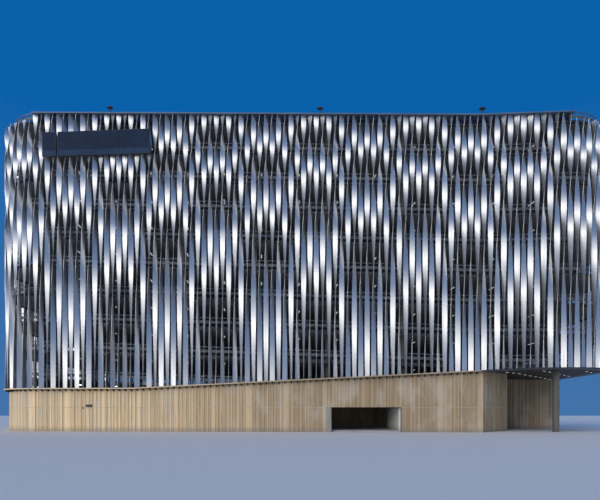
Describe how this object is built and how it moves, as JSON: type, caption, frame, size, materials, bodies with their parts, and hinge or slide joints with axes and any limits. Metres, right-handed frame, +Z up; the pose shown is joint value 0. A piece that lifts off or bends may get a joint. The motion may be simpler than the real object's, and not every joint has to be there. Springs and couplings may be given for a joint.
{
  "type": "multi storey car park, 1:2 scale model",
  "caption": "Car park with open decks behind a screen of upright twisted metal fins, on a ribbed concrete plinth with a vehicle entrance and an open corner.",
  "frame": {"origin": "on the ground, at the middle of the building in plan", "axes": "+Z up, -Y out of the long front with the vehicle entrance, +X to the right of that front"},
  "size_m": [32.7364, 15.7324, 17.1793],
  "materials": {
    "precast_plinth": "buff precast concrete with fine upright ribs",
    "pale_pier": "smooth pale render",
    "deck_concrete": "plain grey concrete",
    "anodised_aluminium": "satin anodised",
    "galvanised_steel": "galvanised",
    "dark_soffit": "matt dark panels",
    "dark_panel": "satin dark grey"
  },
  "bodies": {
    "root": {"ground_slab": "deck_concrete", "plinth_front_left": "precast_plinth", "entrance_pier": "pale_pier", "entrance_lintel": "precast_plinth", "plinth_front_right": "precast_plinth", "plinth_slanting_wall": "precast_plinth", "open_corner_side_wall": "precast_plinth", "open_corner_rear_wall": "precast_plinth", "plinth_right_wall": "precast_plinth", "plinth_back_wall": "precast_plinth", "plinth_left_wall": "precast_plinth", "plinth_corners": "precast_plinth", "entrance_side_wall": "pale_pier", "outer_columns": "deck_concrete", "middle_columns": "deck_concrete", "open_corner_soffit": "dark_soffit", "fin_foot_plates": "galvanised_steel", "fin_cap_plates": "galvanised_steel", "roof_parapets": "dark_panel", "sign_panel": "dark_panel", "small_sign_panel": "dark_panel", "roof_lamps": "dark_panel", "parking_deck_1": "deck_concrete", "parking_deck_2": "deck_concrete", "parking_deck_3": "deck_concrete", "parking_deck_4": "deck_concrete", "parking_deck_5": "deck_concrete", "parking_deck_6": "deck_concrete", "parking_deck_7": "deck_concrete", "parking_deck_8": "deck_concrete", "parking_deck_9": "deck_concrete", "roof_deck": "deck_concrete", "front_fins": "anodised_aluminium", "right_fins": "anodised_aluminium", "back_fins": "anodised_aluminium", "left_fins": "anodised_aluminium", "front_right_corner_fins": "anodised_aluminium", "back_right_corner_fins": "anodised_aluminium", "back_left_corner_fins": "anodised_aluminium", "front_left_corner_fins": "anodised_aluminium", "front_barriers": "galvanised_steel", "back_barriers": "galvanised_steel", "left_barriers": "galvanised_steel", "right_barriers": "galvanised_steel", "corner_barriers": "galvanised_steel"}
  },
  "joints": []
}
